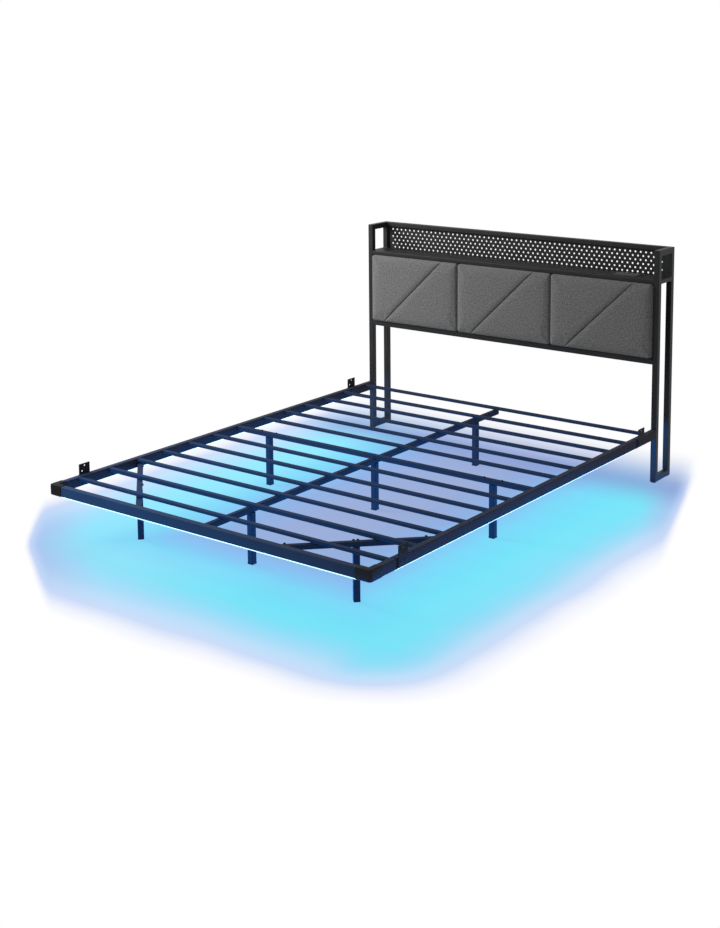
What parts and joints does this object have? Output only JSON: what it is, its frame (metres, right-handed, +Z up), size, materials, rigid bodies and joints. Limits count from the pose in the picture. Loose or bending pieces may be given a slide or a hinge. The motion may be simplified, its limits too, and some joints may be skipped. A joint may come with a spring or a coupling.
{
  "type": "floating bed",
  "caption": "Low steel platform bed on recessed legs with light strips under its rails and a padded headboard that carries a perforated shelf.",
  "frame": {"origin": "on the floor, under the middle of the bed's bounding box", "axes": "+X across the bed to the right of a person looking from the foot to the headboard, +Y from the foot to the headboard, +Z up"},
  "size_m": [1.5366, 2.186, 1.01],
  "materials": {
    "frame_steel": "black powder coat, satin, with a fine grain",
    "cap_plastic": "black moulded plastic, lightly textured",
    "shelf_board": "black laminate on board",
    "charger_plastic": "dark plastic, half gloss",
    "cushion_linen": "dark grey linen weave over foam",
    "strip_light": "translucent silicone diffuser, lit pale cyan"
  },
  "bodies": {
    "root": {"foot_rail": "frame_steel", "foot_stub_left": "frame_steel", "foot_stub_right": "frame_steel", "side_rail_left": "frame_steel", "side_rail_right": "frame_steel", "head_stub_left": "frame_steel", "head_stub_right": "frame_steel", "corner_cap_left": "cap_plastic", "corner_cap_right": "cap_plastic", "slat_01": "frame_steel", "slat_02": "frame_steel", "slat_03": "frame_steel", "slat_04": "frame_steel", "slat_05": "frame_steel", "slat_06": "frame_steel", "slat_07": "frame_steel", "slat_08": "frame_steel", "slat_09": "frame_steel", "slat_10": "frame_steel", "slat_11": "frame_steel", "slat_12": "frame_steel", "slat_13": "frame_steel", "centre_beam": "frame_steel", "diagonal_brace_left": "frame_steel", "diagonal_brace_right": "frame_steel", "centre_leg_foot": "frame_steel", "centre_leg_foot_foot": "cap_plastic", "centre_leg_middle": "frame_steel", "centre_leg_middle_foot": "cap_plastic", "centre_leg_head": "frame_steel", "centre_leg_head_foot": "cap_plastic", "side_leg_left": "frame_steel", "side_leg_left_foot": "cap_plastic", "side_leg_right": "frame_steel", "side_leg_right_foot": "cap_plastic", "corner_leg_left": "frame_steel", "corner_leg_left_foot": "cap_plastic", "corner_leg_right": "frame_steel", "corner_leg_right_foot": "cap_plastic", "mattress_stop_foot_left": "frame_steel", "mattress_stop_foot_right": "frame_steel", "mattress_stop_head_left": "frame_steel", "mattress_stop_head_right": "frame_steel", "light_strip_foot": "strip_light", "light_strip_left": "strip_light", "light_strip_right": "strip_light", "headboard_loop_left": "frame_steel", "headboard_loop_right": "frame_steel", "headboard_top_rail": "frame_steel", "shelf_front_rail": "frame_steel", "shelf_back_rail": "frame_steel", "cushion_lower_rail": "frame_steel", "shelf_board": "shelf_board", "charging_panel": "charger_plastic", "mesh_panel": "frame_steel", "backing_board": "shelf_board", "cushion_left": "cushion_linen", "cushion_centre": "cushion_linen", "cushion_right": "cushion_linen"}
  },
  "joints": []
}
